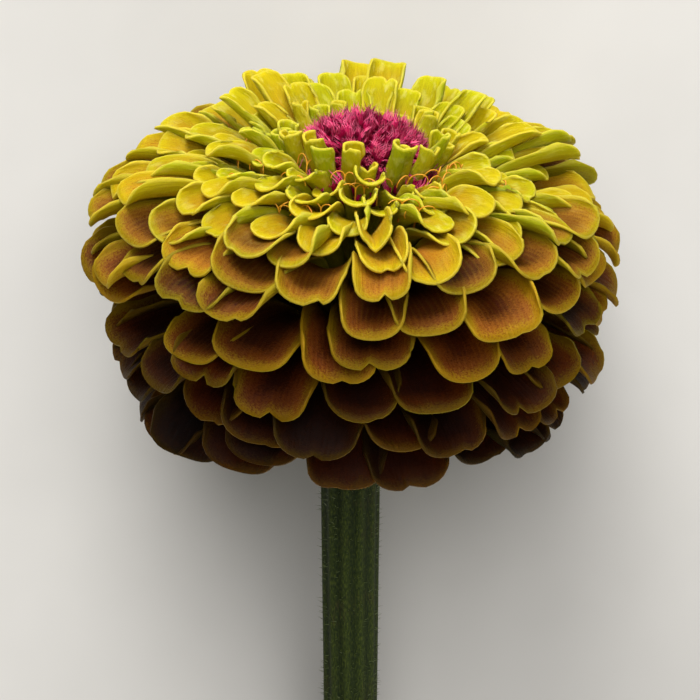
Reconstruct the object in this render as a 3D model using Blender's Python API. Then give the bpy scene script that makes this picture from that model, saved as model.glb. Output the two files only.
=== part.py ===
"""A cut, fully double zinnia bloom, lying on its side: stem, receptacle, bracts, ray florets and disc.

Everything is modelled in the flower's own frame: Z runs up the stem and out of the flower's face, X to
its right, and -Y is the side that looks up when the flower lies down. The origin is the middle of the
head at its widest. One empty then lays the whole flower down, with its face towards +Y.
"""

from math import acos, asin, atan2, cos, exp, hypot, log, pi, radians, sin, sqrt
import random

import bmesh
import bpy
from mathutils import Matrix, Vector

MM = 0.001

# Head: a flat-topped crown above its widest ring and a steep oval skirt below it.
HEAD_RADIUS = 35.9 * MM
CROWN_RISE = 13.8 * MM
CROWN_POWER = 2.45
SKIRT_REACH = 42.0 * MM
SKIRT_DROP = 20.8 * MM
SKIRT_STEPS = 4
CROWN_RINGS = 7
INNER_RING_RADIUS = 16.5 * MM
FAR_RISE = 7.0 * MM
FAR_ROUND = (0.36, 0.90)
FAR_RADII = (11 * MM, 18 * MM)
FAR_HEIGHTS = (2 * MM, 13 * MM)

# Ray florets
FLORETS_PER_RING = 21
LOOSE_RINGS = 2
FLORET_THICKNESS = 0.55 * MM
SIDE_GAP = 0.22 * MM
LENGTH_SPREAD = 0.03
HANDLE_SHARE = 0.36
LOW_LEAVE = radians(24)
HIGH_LEAVE = radians(52)
LOW_ARRIVE = radians(-65)
ARRIVE_GAIN = radians(44)
SHINGLE_LEAN = radians(24)
LOW_CUP = 0.30
HIGH_CUP = 0.13
WHORL_STATIONS = ((0.42, 0.88), (0.80, 1.00), (1.00, 0.58))
LOOSE_STATIONS = ((0.00, 0.80), (0.28, 0.84), (0.58, 0.95), (0.82, 1.00), (1.00, 0.58))

# Rolled florets that stand around the disc
TUBE_COUNT = 18
TUBE_MOUTH_RADIUS = 10.9 * MM
TUBE_MOUTH_HEIGHT = 18.2 * MM
TUBE_LEAVE = radians(62)
TUBE_ARRIVE = radians(78)
TUBE_CUP = 0.75
TUBE_THICKNESS = 0.7 * MM

# Receptacle, the core that carries every floret
CORE_RADIUS = 8.6 * MM
CORE_LOW = -16.0 * MM
CORE_HIGH = 8.4 * MM
CORE_RISE = 30.0 * MM
CORE_STEPS = 5
LOWEST_SEAT = -14.8 * MM
HIGHEST_SEAT = 7.2 * MM
NECK_RADIUS = 4.3 * MM
NECK_HEIGHT = -21.0 * MM
SHOULDER_RADIUS = 7.4 * MM
SHOULDER_HEIGHT = -18.9 * MM
COLLAR_DEPTH = 0.7 * MM
SEAT_GAP = 0.4 * MM
ROUND_SIDES = 24
SMOOTH_UP_TO = radians(50)
SLOPE_STEP = radians(2)

# Bracts under the head
BRACTS_PER_WHORL = 13
BRACT_THICKNESS = 0.5 * MM
BRACT_STATIONS = ((0.55, 0.98), (1.00, 0.62))
BRACT_CUP = 0.2
BRACT_SEATS = (-16.7 * MM, -18.6 * MM)
BRACT_REACH = 5.4 * MM
BRACT_LEAVE = radians(14)
BRACT_ARRIVE = radians(30)

# Disc: a dome of small florets and their fringed scales
DISC_RADIUS = 7.4 * MM
DISC_FOOT_RADIUS = 5.2 * MM
DISC_FOOT = 8.7 * MM
DISC_SHOULDER = 13.6 * MM
DISC_TOP = 18.9 * MM
DISC_ARC_STEPS = 5

# Stem
STEM_NECK_RADIUS = 4.2 * MM
STEM_RADIUS = 3.7 * MM
STEM_TAPER = 60 * MM
STEM_SIDES = 16
STEM_BANDS = 4
PIECE_GAP = 0.3 * MM

# Lying pose
TILT = radians(15.3)
HEAD_SINK = 1.5 * MM
FLOOR_SOFTNESS = 0.3 * MM
CLEAR_OF_FLOOR = 30
FLORET_SEED = 21
BRACT_SEED = 5

# Roughness of each surface
PETAL_ROUGHNESS = 0.6
CORE_ROUGHNESS = 0.7
DISC_ROUGHNESS = 0.8

LIME = (0.52, 0.50, 0.10)
OLIVE = (0.42, 0.36, 0.09)
MAROON = (0.20, 0.07, 0.05)
BRACT_GREEN = (0.13, 0.20, 0.05)
STEM_GREEN = (0.10, 0.15, 0.05)
CORE_GREEN = (0.40, 0.45, 0.16)
MAGENTA = (0.50, 0.03, 0.14)


def clear_scene():
    for item in list(bpy.data.objects):
        bpy.data.objects.remove(item, do_unlink=True)


def material(name, colour, roughness):
    result = bpy.data.materials.new(name)
    result.use_nodes = True
    shader = result.node_tree.nodes["Principled BSDF"]
    shader.inputs["Base Color"].default_value = (*colour, 1.0)
    shader.inputs["Roughness"].default_value = roughness
    shader.inputs["Metallic"].default_value = 0.0
    return result


def blend(low, high, share):
    return low + (high - low) * share


def floret_colour(share):
    """Maroon in the lowest ring, olive in the middle, lime at the top."""
    if share < 0.5:
        return tuple(blend(a, b, share * 2) for a, b in zip(MAROON, OLIVE))
    return tuple(blend(a, b, share * 2 - 1) for a, b in zip(OLIVE, LIME))


# ---------------------------------------------------------------- the head's outline

def outline_point(turn):
    """Radius and height on the head's outline: turn is 0 at the widest ring and positive above it."""
    if turn <= 0:
        return HEAD_RADIUS * cos(turn), SKIRT_REACH * sin(turn)
    power = 2 / CROWN_POWER
    return HEAD_RADIUS * cos(turn) ** power, CROWN_RISE * sin(turn) ** power


def arrive_angle(turn, share):
    """Way a floret points at its tip: level enough to stand proud of the outline, like a shingle."""
    low = outline_point(turn - SLOPE_STEP)
    high = outline_point(turn + SLOPE_STEP)
    slope = atan2(low[1] - high[1], low[0] - high[0])
    return max(slope + SHINGLE_LEAN, LOW_ARRIVE + ARRIVE_GAIN * share)


def crown_turns():
    """Turns of the rings from the widest one up, spaced evenly along the outline."""
    last = acos((INNER_RING_RADIUS / HEAD_RADIUS) ** (CROWN_POWER / 2))
    samples = 2000
    walked = [0.0]
    for i in range(samples):
        a = outline_point(last * i / samples)
        b = outline_point(last * (i + 1) / samples)
        walked.append(walked[-1] + hypot(b[0] - a[0], b[1] - a[1]))
    turns = []
    for ring in range(CROWN_RINGS):
        wanted = walked[-1] * ring / (CROWN_RINGS - 1)
        index = min(range(samples + 1), key=lambda i: abs(walked[i] - wanted))
        turns.append(last * index / samples)
    return turns


def ring_turns():
    lowest = -asin(SKIRT_DROP / SKIRT_REACH)
    skirt = [lowest * (1 - step / SKIRT_STEPS) for step in range(SKIRT_STEPS)]
    return skirt + crown_turns()


RING_TURNS = ring_turns()
RING_COUNT = len(RING_TURNS)


def core_radius(height):
    """Radius of the receptacle at a height: a tall dome on a bell that narrows to the stem."""
    if height >= CORE_LOW:
        return CORE_RADIUS * sqrt(1 - ((height - CORE_LOW) / CORE_RISE) ** 2)
    if height >= SHOULDER_HEIGHT:
        share = (height - SHOULDER_HEIGHT) / (CORE_LOW - SHOULDER_HEIGHT)
        return blend(SHOULDER_RADIUS, CORE_RADIUS, share)
    share = (height - NECK_HEIGHT) / (SHOULDER_HEIGHT - NECK_HEIGHT)
    return blend(NECK_RADIUS, SHOULDER_RADIUS, share)


def seat_radius(height):
    """Inner radius of a collar that sits around the receptacle."""
    return core_radius(height - COLLAR_DEPTH / 2) + SEAT_GAP


# ---------------------------------------------------------------- the lying pose

def head_support():
    """How far the head reaches towards the floor, below its middle."""
    reaches = []
    for turn in RING_TURNS:
        radius, height = outline_point(turn)
        reaches.append(radius * cos(TILT) - height * sin(TILT))
    return max(reaches) + FLORET_THICKNESS / 2


CENTRE_HEIGHT = head_support() - HEAD_SINK
STEM_REACH = (CENTRE_HEIGHT - STEM_RADIUS * cos(pi / STEM_SIDES) * cos(TILT)) / sin(TILT)
FLOOR_NORMAL = Vector((0, -cos(TILT), sin(TILT)))


def rest_on_floor(point):
    """Lift a point of a floret that would be under the floor until it lies on it."""
    height = CENTRE_HEIGHT + point.dot(FLOOR_NORMAL) - FLORET_THICKNESS / 2
    ratio = height / FLOOR_SOFTNESS
    if ratio > CLEAR_OF_FLOOR:
        return point
    rested = FLOOR_SOFTNESS * log(1 + exp(ratio))
    return point + FLOOR_NORMAL * (rested - height)


def ease(value, low, high):
    share = min(max((value - low) / (high - low), 0), 1)
    return share * share * (3 - 2 * share)


def raise_far_side(point):
    """Lift a point of the crown on the side towards the floor, where the florets stand up highest."""
    radius = hypot(point.x, point.y)
    if radius <= FAR_RADII[0]:
        return point
    way_round = (1 + point.y / radius) / 2
    share = ease(way_round, *FAR_ROUND) * ease(radius, *FAR_RADII) * ease(point.z, *FAR_HEIGHTS)
    return point + Vector((0, 0, FAR_RISE * share))


# ---------------------------------------------------------------- florets

class Ring:
    """One ring of florets: a curve from its seat on the core out to its tips, turned about the stem."""

    def __init__(self, count, offset, seat, tip, leave, arrive, cup, thickness):
        self.count = count
        self.offset = offset
        self.cup = cup
        self.thickness = thickness
        self.inner_radius = seat_radius(seat)
        self.seat = seat
        start = Vector((self.inner_radius + COLLAR_DEPTH, seat))
        end = Vector(tip)
        reach = (end - start).length * HANDLE_SHARE
        first = start + Vector((cos(leave), sin(leave))) * reach
        second = end - Vector((cos(arrive), sin(arrive))) * reach
        self.curve = (start, first, second, end)

    def place(self, share):
        """Point on the curve and the direction that its florets' inner face looks in."""
        a, b, c, d = self.curve
        rest = 1 - share
        point = a * rest ** 3 + b * 3 * rest ** 2 * share + c * 3 * rest * share ** 2 + d * share ** 3
        along = (b - a) * rest ** 2 + (c - b) * 2 * rest * share + (d - c) * share ** 2
        along.normalize()
        return point, Vector((-along.y, along.x))

    def angle(self, index):
        return 2 * pi * (index + self.offset) / self.count

    def half_angle(self, radius, width):
        return (pi / self.count - SIDE_GAP / radius) * width

    def row(self, index, share, width):
        """Left, middle and right points across a floret, with the way its inner face looks."""
        point, facing = self.place(share)
        half = self.half_angle(point.x, width)
        raised = self.cup * half * point.x * share
        row = []
        for side in (-1, 0, 1):
            turn = self.angle(index) + side * half
            radius = point.x + facing.x * raised * abs(side)
            height = point.y + facing.y * raised * abs(side)
            across = Vector((sin(turn), -cos(turn), 0))
            middle = rest_on_floor(across * radius + Vector((0, 0, height)))
            row.append((middle, across * facing.x + Vector((0, 0, facing.y))))
        return row


def floret_rings():
    """All rings of ray florets from the lowest up, then the rolled ones around the disc."""
    rings = []
    for index, turn in enumerate(RING_TURNS):
        share = index / (RING_COUNT - 1)
        rings.append(Ring(
            count=FLORETS_PER_RING,
            offset=0.5 * (index % 2),
            seat=blend(LOWEST_SEAT, HIGHEST_SEAT, index / RING_COUNT),
            tip=outline_point(turn),
            leave=blend(LOW_LEAVE, HIGH_LEAVE, sin(share * pi / 2)),
            arrive=arrive_angle(turn, share),
            cup=blend(LOW_CUP, HIGH_CUP, share),
            thickness=FLORET_THICKNESS,
        ))
    rings.append(Ring(
        count=TUBE_COUNT,
        offset=0.25,
        seat=HIGHEST_SEAT,
        tip=(TUBE_MOUTH_RADIUS, TUBE_MOUTH_HEIGHT),
        leave=TUBE_LEAVE,
        arrive=TUBE_ARRIVE,
        cup=TUBE_CUP,
        thickness=TUBE_THICKNESS,
    ))
    return rings


def bract_rings():
    rings = []
    for index, seat in enumerate(BRACT_SEATS):
        middle = (BRACT_LEAVE + BRACT_ARRIVE) / 2
        start = seat_radius(seat) + COLLAR_DEPTH
        rings.append(Ring(
            count=BRACTS_PER_WHORL,
            offset=0.5 * index,
            seat=seat,
            tip=(start + BRACT_REACH * cos(middle), seat + BRACT_REACH * sin(middle)),
            leave=BRACT_LEAVE,
            arrive=BRACT_ARRIVE,
            cup=BRACT_CUP,
            thickness=BRACT_THICKNESS,
        ))
    return rings


def add_row(mesh, row, thickness):
    """Vertices of one row of a solid floret: inner face left to right, then outer face."""
    inner = [mesh.verts.new(raise_far_side(point + facing * thickness / 2)) for point, facing in row]
    outer = [mesh.verts.new(raise_far_side(point - facing * thickness / 2)) for point, facing in row]
    return inner, outer


def bridge_rows(mesh, first, second):
    """Skin between two rows: inner face, outer face and both edges."""
    (in_a, out_a), (in_b, out_b) = first, second
    for k in range(2):
        mesh.faces.new((in_a[k], in_b[k], in_b[k + 1], in_a[k + 1]))
        mesh.faces.new((out_a[k], out_a[k + 1], out_b[k + 1], out_b[k]))
    mesh.faces.new((in_a[0], out_a[0], out_b[0], in_b[0]))
    mesh.faces.new((in_a[2], in_b[2], out_b[2], out_a[2]))


def cap_row(mesh, row):
    inner, outer = row
    for k in range(2):
        mesh.faces.new((inner[k], inner[k + 1], outer[k + 1], outer[k]))


def collar_vertices(mesh, ring):
    """The band that joins a whorl's florets at their feet, as columns of four vertices."""
    half = ring.thickness / 2
    outer_radius = ring.inner_radius + COLLAR_DEPTH
    columns = []
    for step in range(2 * ring.count):
        turn = ring.angle((step - 1) / 2)
        across = Vector((sin(turn), -cos(turn), 0))
        corners = []
        for radius, height in (
            (outer_radius, half), (outer_radius, -half),
            (ring.inner_radius, half), (ring.inner_radius, -half),
        ):
            corners.append(mesh.verts.new(across * radius + Vector((0, 0, ring.seat + height))))
        columns.append(corners)
    return columns


def add_collar_faces(mesh, left, right):
    mesh.faces.new((left[0], right[0], right[2], left[2]))
    mesh.faces.new((left[1], left[3], right[3], right[1]))
    mesh.faces.new((left[2], right[2], right[3], left[3]))


def build_whorl(ring, stations, dice):
    """A whole ring of florets as one body, joined at their feet by a thin collar."""
    mesh = bmesh.new()
    columns = collar_vertices(mesh, ring)
    for index in range(ring.count):
        edge = [columns[(2 * index + k) % len(columns)] for k in range(3)]
        add_collar_faces(mesh, edge[0], edge[1])
        add_collar_faces(mesh, edge[1], edge[2])
        length = 1 - dice.uniform(0, 2 * LENGTH_SPREAD)
        last = ([c[0] for c in edge], [c[1] for c in edge])
        for share, width in stations:
            row = add_row(mesh, ring.row(index, share * length, width), ring.thickness)
            bridge_rows(mesh, last, row)
            last = row
        cap_row(mesh, last)
    return mesh


def build_floret(ring, index, stations, dice):
    """One floret as a body of its own."""
    mesh = bmesh.new()
    length = 1 - dice.uniform(0, 2 * LENGTH_SPREAD)
    last = None
    for share, width in stations:
        row = add_row(mesh, ring.row(index, share * length, width), ring.thickness)
        if last is None:
            cap_row(mesh, row)
        else:
            bridge_rows(mesh, last, row)
        last = row
    cap_row(mesh, last)
    return mesh


# ---------------------------------------------------------------- turned pieces

def build_turned(profile, sides):
    """A closed turned solid from a profile of (radius, height), bottom to top, with its ends filled."""
    mesh = bmesh.new()
    rings = []
    for radius, height in profile:
        if radius == 0:
            rings.append([mesh.verts.new((0, 0, height))])
            continue
        turns = [2 * pi * (k + 0.5) / sides for k in range(sides)]
        rings.append([mesh.verts.new((radius * sin(t), -radius * cos(t), height)) for t in turns])
    for low, high in zip(rings, rings[1:]):
        for k in range(sides):
            after = (k + 1) % sides
            if len(high) == 1:
                mesh.faces.new((low[k], low[after], high[0]))
            else:
                mesh.faces.new((low[k], low[after], high[after], high[k]))
    mesh.faces.new(rings[0])
    if len(rings[-1]) > 1:
        mesh.faces.new(rings[-1])
    return mesh


def core_profile():
    profile = [(NECK_RADIUS, NECK_HEIGHT), (SHOULDER_RADIUS, SHOULDER_HEIGHT)]
    for step in range(CORE_STEPS + 1):
        height = blend(CORE_LOW, CORE_HIGH, step / CORE_STEPS)
        profile.append((core_radius(height), height))
    return profile


def disc_profile():
    profile = [(DISC_FOOT_RADIUS, DISC_FOOT), (DISC_RADIUS, DISC_SHOULDER - DISC_RADIUS / 3)]
    for step in range(DISC_ARC_STEPS + 1):
        turn = pi / 2 * step / DISC_ARC_STEPS
        radius = DISC_RADIUS * cos(turn) if step < DISC_ARC_STEPS else 0
        profile.append((radius, blend(DISC_SHOULDER, DISC_TOP, sin(turn))))
    return profile


def stem_profile():
    top = NECK_HEIGHT - PIECE_GAP
    profile = [(STEM_RADIUS, -STEM_REACH)]
    for band in range(1, STEM_BANDS):
        height = blend(-STEM_REACH, top - STEM_TAPER, band / STEM_BANDS)
        profile.append((STEM_RADIUS, height))
    profile.append((STEM_RADIUS, top - STEM_TAPER))
    profile.append((STEM_NECK_RADIUS, top))
    return profile


# ---------------------------------------------------------------- objects

def add_object(name, mesh, look, pose):
    bmesh.ops.recalc_face_normals(mesh, faces=mesh.faces)
    data = bpy.data.meshes.new(name)
    mesh.to_mesh(data)
    mesh.free()
    data.materials.append(look)
    data.shade_smooth()
    data.set_sharp_from_angle(angle=SMOOTH_UP_TO)
    item = bpy.data.objects.new(name, data)
    item.parent = pose
    bpy.context.collection.objects.link(item)
    return item


def add_florets(pose):
    dice = random.Random(FLORET_SEED)
    rings = floret_rings()
    for number, ring in enumerate(rings[:-1]):
        colour = floret_colour(number / RING_COUNT)
        if number >= LOOSE_RINGS:
            name = f"ray_whorl_{number + 1:02d}"
            look = material(name, colour, PETAL_ROUGHNESS)
            add_object(name, build_whorl(ring, WHORL_STATIONS, dice), look, pose)
            continue
        for index in range(ring.count):
            name = f"ray_floret_{number + 1}_{index + 1:02d}"
            look = material(name, colour, PETAL_ROUGHNESS)
            mesh = build_floret(ring, index, LOOSE_STATIONS, dice)
            add_object(name, mesh, look, pose)
    look = material("tube_florets", LIME, PETAL_ROUGHNESS)
    add_object("tube_florets", build_whorl(rings[-1], WHORL_STATIONS, dice), look, pose)


def add_bracts(pose):
    dice = random.Random(BRACT_SEED)
    for number, ring in enumerate(bract_rings()):
        name = f"bract_whorl_{number + 1}"
        look = material(name, BRACT_GREEN, PETAL_ROUGHNESS)
        add_object(name, build_whorl(ring, BRACT_STATIONS, dice), look, pose)


def add_turned_pieces(pose):
    core = build_turned(core_profile(), ROUND_SIDES)
    add_object("receptacle", core, material("receptacle", CORE_GREEN, CORE_ROUGHNESS), pose)
    disc = build_turned(disc_profile(), ROUND_SIDES)
    add_object("disc", disc, material("disc", MAGENTA, DISC_ROUGHNESS), pose)
    stem = build_turned(stem_profile(), STEM_SIDES)
    add_object("stem", stem, material("stem", STEM_GREEN, PETAL_ROUGHNESS), pose)


def lay_down(pose):
    """Lay the flower on the floor, with its box centred on the origin."""
    turn = Matrix.Rotation(TILT - pi / 2, 4, "X")
    places = [turn @ v.co for item in pose.children for v in item.data.vertices]
    xs = [p.x for p in places]
    ys = [p.y for p in places]
    zs = [p.z for p in places]
    pose.rotation_euler = (TILT - pi / 2, 0, 0)
    pose.location = (-(min(xs) + max(xs)) / 2, -(min(ys) + max(ys)) / 2, -min(zs))


def main():
    clear_scene()
    pose = bpy.data.objects.new("flower_pose", None)
    bpy.context.collection.objects.link(pose)
    add_turned_pieces(pose)
    add_bracts(pose)
    add_florets(pose)
    lay_down(pose)


main()
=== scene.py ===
import random
from math import asin, cos, pi, radians, sin, sqrt

import bpy
import numpy as np
from mathutils import Matrix, Vector


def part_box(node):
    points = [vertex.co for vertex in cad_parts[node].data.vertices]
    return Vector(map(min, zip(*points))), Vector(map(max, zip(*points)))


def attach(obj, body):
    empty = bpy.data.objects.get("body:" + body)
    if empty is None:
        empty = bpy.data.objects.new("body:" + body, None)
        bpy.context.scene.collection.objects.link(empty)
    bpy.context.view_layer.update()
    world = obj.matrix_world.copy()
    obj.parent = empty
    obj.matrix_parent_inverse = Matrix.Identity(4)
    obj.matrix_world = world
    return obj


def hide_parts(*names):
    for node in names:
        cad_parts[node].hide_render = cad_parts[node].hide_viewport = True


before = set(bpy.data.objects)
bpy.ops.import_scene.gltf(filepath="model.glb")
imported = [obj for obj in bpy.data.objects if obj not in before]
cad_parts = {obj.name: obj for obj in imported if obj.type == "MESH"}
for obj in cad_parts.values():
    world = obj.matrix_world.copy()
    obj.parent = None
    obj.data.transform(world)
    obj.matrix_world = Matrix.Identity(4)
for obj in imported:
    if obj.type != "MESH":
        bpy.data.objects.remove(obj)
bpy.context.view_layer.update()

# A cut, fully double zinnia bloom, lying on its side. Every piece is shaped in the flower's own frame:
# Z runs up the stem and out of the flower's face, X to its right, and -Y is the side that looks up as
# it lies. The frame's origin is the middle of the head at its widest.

MM = 0.001

# Head's outline, as in the solid model
HEAD_RADIUS = 35.9 * MM
CROWN_RISE = 13.8 * MM
CROWN_POWER = 2.45
SKIRT_REACH = 42.0 * MM
SKIRT_DROP = 20.8 * MM
SKIRT_STEPS = 4
CROWN_RINGS = 7
INNER_RING_RADIUS = 16.5 * MM
HANDLE_SHARE = 0.36

# Receptacle and seats of the florets
CORE_RADIUS = 8.6 * MM
CORE_LOW = -16.0 * MM
CORE_RISE = 30.0 * MM
LOWEST_SEAT = -14.8 * MM
HIGHEST_SEAT = 7.2 * MM
NECK_HEIGHT = -21.3 * MM
STEM_RADIUS = 3.7 * MM
STEM_NECK_RADIUS = 4.2 * MM
STEM_TAPER = 60 * MM

# Ray florets
FLORETS_PER_RING = 21
LOOSE_RINGS = 2
ACROSS = 14
ALONG = 18
SECTION_STEPS = 28
PETAL_THICKNESS = 0.32 * MM
EDGE_STRIP = 1.09

# Lying pose
TILT = radians(15.3)
FLOOR_SOFTNESS = 0.3 * MM
CLEAR_OF_FLOOR = 30
FLOOR_NORMAL = np.array((0, -cos(TILT), sin(TILT)))


# ---------------------------------------------------------------- the flower's place, from the frame

def flower_place():
    """Where the flower's origin lies, worked out from the box of the solid stem."""
    low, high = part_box("stem")
    run = high.y - low.y
    reach = (run - (STEM_RADIUS + STEM_NECK_RADIUS) * sin(TILT)) / cos(TILT) - NECK_HEIGHT
    across = (low.x + high.x) / 2
    along = low.y + reach * cos(TILT) + STEM_RADIUS * sin(TILT)
    up = low.z + reach * sin(TILT) + STEM_RADIUS * cos(TILT)
    return Vector((across, along, up)), reach


FLOWER_CENTRE, STEM_REACH = flower_place()
LYING = Matrix.Translation(FLOWER_CENTRE) @ Matrix.Rotation(TILT - pi / 2, 4, "X")
LYING_TURN = np.array(LYING.to_3x3())


def to_world(points):
    """Points of the flower's frame, as rows, laid down on the floor."""
    return points @ LYING_TURN.T + np.array(FLOWER_CENTRE)


def rest_on_floor(points, margin):
    """Bend points that would be under the floor up until they lie on it."""
    height = FLOWER_CENTRE.z + points @ FLOOR_NORMAL - margin
    ratio = np.minimum(height / FLOOR_SOFTNESS, CLEAR_OF_FLOOR)
    rested = np.where(ratio < CLEAR_OF_FLOOR, FLOOR_SOFTNESS * np.log1p(np.exp(ratio)), height)
    return points + (rested - height)[:, None] * FLOOR_NORMAL


# ---------------------------------------------------------------- small helpers

def blend(low, high, share):
    return low + (high - low) * share


def ease(value, low, high):
    """0 below low, 1 above high, and smooth between."""
    share = np.clip((value - low) / (high - low), 0, 1)
    return share * share * (3 - 2 * share)


def at_stops(stops, share):
    """A value read between (share, value) stops."""
    places = [stop[0] for stop in stops]
    return float(np.interp(share, places, [stop[1] for stop in stops]))


def clear_selection():
    bpy.ops.object.select_all(action="DESELECT")


def make_active(item):
    clear_selection()
    item.select_set(True)
    bpy.context.view_layer.objects.active = item


def join_pieces(items, name):
    make_active(items[0])
    for item in items:
        item.select_set(True)
    if len(items) > 1:
        bpy.ops.object.join()
    joined = bpy.context.view_layer.objects.active
    joined.name = name
    joined.data.name = name
    return joined


def apply_modifiers(item):
    make_active(item)
    for modifier in list(item.modifiers):
        bpy.ops.object.modifier_apply(modifier=modifier.name)


def finish_piece(item, slot, *nodes):
    """Tie a finished piece to the frame."""
    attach(item, "root")
    if nodes:
        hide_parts(*nodes)


def copy_piece(item):
    """A copy with a mesh of its own."""
    copied = item.copy()
    copied.data = item.data.copy()
    bpy.context.collection.objects.link(copied)
    return copied


def give_look(item, look):
    item.data.materials.clear()
    item.data.materials.append(look)


def read_all(items, name, width=1, kind=np.int32):
    """One property of all items, as an array with a row for each item."""
    found = np.empty(len(items) * width, kind)
    items.foreach_get(name, found)
    return found if width == 1 else found.reshape(-1, width)


def mesh_points(item):
    return read_all(item.data.vertices, "co", 3, np.float64)


def set_points(item, points):
    item.data.vertices.foreach_set("co", np.ascontiguousarray(points, np.float32).ravel())
    item.data.update()


def set_attribute(item, name, values):
    layer = item.data.attributes.get(name) or item.data.attributes.new(name, "FLOAT", "POINT")
    layer.data.foreach_set("value", np.broadcast_to(values, len(item.data.vertices)).astype(np.float32))


# ---------------------------------------------------------------- shader maths

class Signal:
    """A value in a material. Arithmetic on it adds Math nodes."""

    def __init__(self, paint, socket):
        self.paint = paint
        self.socket = socket

    def math(self, operation, *others):
        return self.paint.math(operation, self, *others)

    def __add__(self, other):
        return self.math("ADD", other)

    __radd__ = __add__

    def __sub__(self, other):
        return self.math("SUBTRACT", other)

    def __rsub__(self, other):
        return self.paint.math("SUBTRACT", other, self)

    def __mul__(self, other):
        return self.math("MULTIPLY", other)

    __rmul__ = __mul__

    def __pow__(self, other):
        return self.math("POWER", other)

    def ease(self, low, high):
        """0 at low, 1 at high, and smooth between."""
        sockets = {"Value": self, "From Min": low, "From Max": high}
        return self.paint.node("ShaderNodeMapRange", {"interpolation_type": "SMOOTHSTEP"}, sockets)


class Paint:
    """A material and its nodes."""

    def __init__(self, name):
        self.material = bpy.data.materials.new(name)
        self.material.use_nodes = True
        self.tree = self.material.node_tree
        self.shader = self.tree.nodes["Principled BSDF"]

    def node(self, kind, settings=None, sockets=None, output=0):
        made = self.tree.nodes.new(kind)
        for name, value in (settings or {}).items():
            if name == "stops":
                self.set_stops(made.color_ramp, value)
            else:
                setattr(made, name, value)
        for name, value in (sockets or {}).items():
            self.feed(made.inputs[name], value)
        return Signal(self, made.outputs[output])

    def set_stops(self, ramp, stops):
        while len(ramp.elements) > 1:
            ramp.elements.remove(ramp.elements[-1])
        ramp.elements[0].position, ramp.elements[0].color = stops[0][0], (*stops[0][1], 1)
        for place, colour in stops[1:]:
            ramp.elements.new(place).color = (*colour, 1)

    def feed(self, socket, value):
        if isinstance(value, Signal):
            self.tree.links.new(value.socket, socket)
        else:
            socket.default_value = value

    def math(self, operation, *values):
        return self.node("ShaderNodeMath", {"operation": operation}, dict(enumerate(values)))

    def ramp(self, value, stops):
        return self.node("ShaderNodeValToRGB", {"stops": stops}, {"Fac": value})

    def shaded(self, colour, shade):
        """A colour made darker or lighter by a value."""
        return self.mix(colour, self.vector(shade, shade, shade), 1.0, "MULTIPLY")

    def mix(self, first, second, share, mode="MIX"):
        settings = {"data_type": "RGBA", "blend_type": mode}
        colours = [c if isinstance(c, Signal) else (*c, 1) for c in (first, second)]
        return self.node("ShaderNodeMix", settings, {0: share, 6: colours[0], 7: colours[1]}, output=2)

    def object_place(self):
        return self.node("ShaderNodeTexCoord", output=3)

    def map_place(self, name):
        """Across and along of a piece's own UV map."""
        return self.parts_of(self.node("ShaderNodeUVMap", {"uv_map": name}))[:2]

    def parts_of(self, vector):
        """X, Y and Z of a vector."""
        parts = self.node("ShaderNodeSeparateXYZ", None, {0: vector}).socket.node
        return [Signal(self, output) for output in parts.outputs]

    def attribute(self, name):
        return self.node("ShaderNodeAttribute", {"attribute_name": name}, output=2)

    def vector(self, x, y, z=0.0):
        return self.node("ShaderNodeCombineXYZ", None, {0: x, 1: y, 2: z})

    def noise(self, place, scale, detail=2.0, roughness=0.5):
        sockets = {"Vector": place, "Scale": scale, "Detail": detail, "Roughness": roughness}
        return self.node("ShaderNodeTexNoise", None, sockets)

    def bump(self, height, strength, distance):
        sockets = {"Height": height, "Strength": strength, "Distance": distance}
        self.feed(self.shader.inputs["Normal"], self.node("ShaderNodeBump", None, sockets))

    def set(self, **values):
        """Set the shader's own sockets: roughness=0.5 sets Roughness."""
        for name, value in values.items():
            self.feed(self.shader.inputs[name.replace("_", " ").title()], value)


# ---------------------------------------------------------------- petals: look

# From the lowest ring, 0, to the highest, 1: the thin margin, the band inside it and the middle
# The lowest rows and the middles are dark partly in the petals' own maroon and partly as painted shade.
MARGINS = ((0.00, (0.018, 0.010, 0.001)), (0.20, (0.068, 0.038, 0.001)), (0.45, (0.31, 0.20, 0.003)),
           (0.65, (0.48, 0.38, 0.002)), (0.90, (0.50, 0.45, 0.002)))
BANDS = ((0.00, (0.009, 0.0027, 0.001)), (0.20, (0.030, 0.0075, 0.001)), (0.42, (0.15, 0.043, 0.006)),
         (0.55, (0.36, 0.155, 0.012)), (0.68, (0.44, 0.29, 0.004)), (0.90, (0.43, 0.38, 0.002)))
MIDDLES = ((0.00, (0.006, 0.0015, 0.001)), (0.30, (0.014, 0.003, 0.001)), (0.46, (0.050, 0.011, 0.002)),
           (0.60, (0.24, 0.085, 0.007)), (0.72, (0.41, 0.23, 0.004)), (0.90, (0.42, 0.35, 0.002)))
# Backs of the upper rows: their own green, made paler by painted light shining through the petals.
BACK_GREEN_AND_GLOW = (0.33, 0.37, 0.006)
# Painted highlight: pale lime on the raised swells of the upper rows.
RIDGE_HIGHLIGHT_LIME = (0.74, 0.72, 0.20)
BACK_OLIVE = (0.085, 0.085, 0.014)
# Painted highlight: a pale cream line along the margins of the upper rows.
RIM_HIGHLIGHT_CREAM = (0.80, 0.62, 0.11)
VEIN_YELLOW = (0.50, 0.38, 0.02)
BLUSH = (0.46, 0.15, 0.025)
GREENER = (0.86, 1.03, 0.8)
ROSIER = (1.07, 0.92, 1.0)
VEINS_ACROSS = 17


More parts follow.
